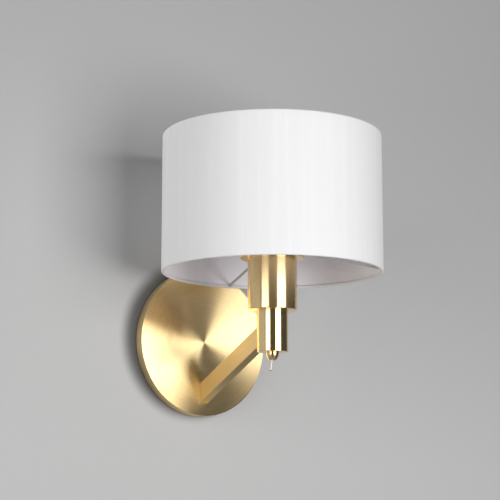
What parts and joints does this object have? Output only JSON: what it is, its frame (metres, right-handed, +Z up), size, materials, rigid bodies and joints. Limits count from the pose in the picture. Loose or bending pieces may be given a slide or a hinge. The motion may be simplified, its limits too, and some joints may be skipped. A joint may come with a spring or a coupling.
{
  "type": "fabric shade wall light",
  "caption": "Wall light with a round brushed brass plate, a slanting bar arm, a stepped brass holder with a toggle switch and a white fabric drum shade.",
  "frame": {"origin": "centre of the wall plate's back, on the wall", "axes": "+X right along the wall, +Y into the wall, +Z up; the lamp stands out towards -Y"},
  "size_m": [0.18, 0.1986, 0.2235],
  "materials": {
    "brushed_brass": "brushed in circles and lacquered",
    "satin_brass": "turned or drawn, polished to a soft shine and lacquered",
    "nickel": "polished nickel plate",
    "tinned_copper": "tinned",
    "zinc_steel": "zinc plated",
    "holder_plastic": "moulded white",
    "switch_plastic": "moulded black",
    "block_plastic": "moulded natural white",
    "white_wire": "powder coated white",
    "shade_fabric": "white woven fabric with fine upright slubs",
    "shade_lining": "white lining sheet, slightly satin",
    "lead_brown": "insulation",
    "lead_blue": "insulation",
    "lead_green_yellow": "insulation"
  },
  "bodies": {
    "wall_light": {"backplate": "brushed_brass", "wall_bracket": "zinc_steel", "plate_grub_screws": "zinc_steel", "earth_tag": "tinned_copper", "earth_screw": "zinc_steel", "terminal_block": "block_plastic", "block_screws": "zinc_steel", "arm": "satin_brass", "arm_stud": "zinc_steel", "arm_washer": "zinc_steel", "arm_nut": "zinc_steel", "switch_housing": "satin_brass", "housing_cap": "zinc_steel", "switch_body": "switch_plastic", "switch_blades": "tinned_copper", "switch_bushing": "nickel", "switch_nut": "nickel", "dome_nut": "satin_brass", "lamp_cup": "satin_brass", "brim": "satin_brass", "nipple": "zinc_steel", "nipple_locknut": "zinc_steel", "lampholder_base": "holder_plastic", "lampholder_body": "holder_plastic", "screw_shell": "nickel", "centre_contact": "tinned_copper", "holder_terminals": "tinned_copper", "live_lead": "lead_brown", "neutral_lead": "lead_blue", "switched_lead": "lead_brown", "earth_lead": "lead_green_yellow"},
    "shade": {"shade_frame": "white_wire", "top_ring": "white_wire", "shade_fabric": "shade_fabric", "shade_liner": "shade_lining"},
    "ring": {"shade_ring": "holder_plastic"},
    "toggle": {"toggle_lever": "nickel"}
  },
  "joints": [
    {"name": "toggle_flip", "type": "hinge", "parent": "wall_light", "child": "toggle", "pos_m": [0, -0.1086, -0.018], "axis": [1, 0, 0], "range_deg": [-24, 0]},
    {"name": "shade_lift", "type": "slide", "parent": "wall_light", "child": "shade", "axis": [0, 0, 1], "range_m": [0, 0.06]},
    {"name": "shade_ring_turn", "type": "hinge", "parent": "shade", "child": "ring", "pos_m": [0, -0.1086, 0.066], "axis": [0, 0, 1], "continuous": true}
  ]
}
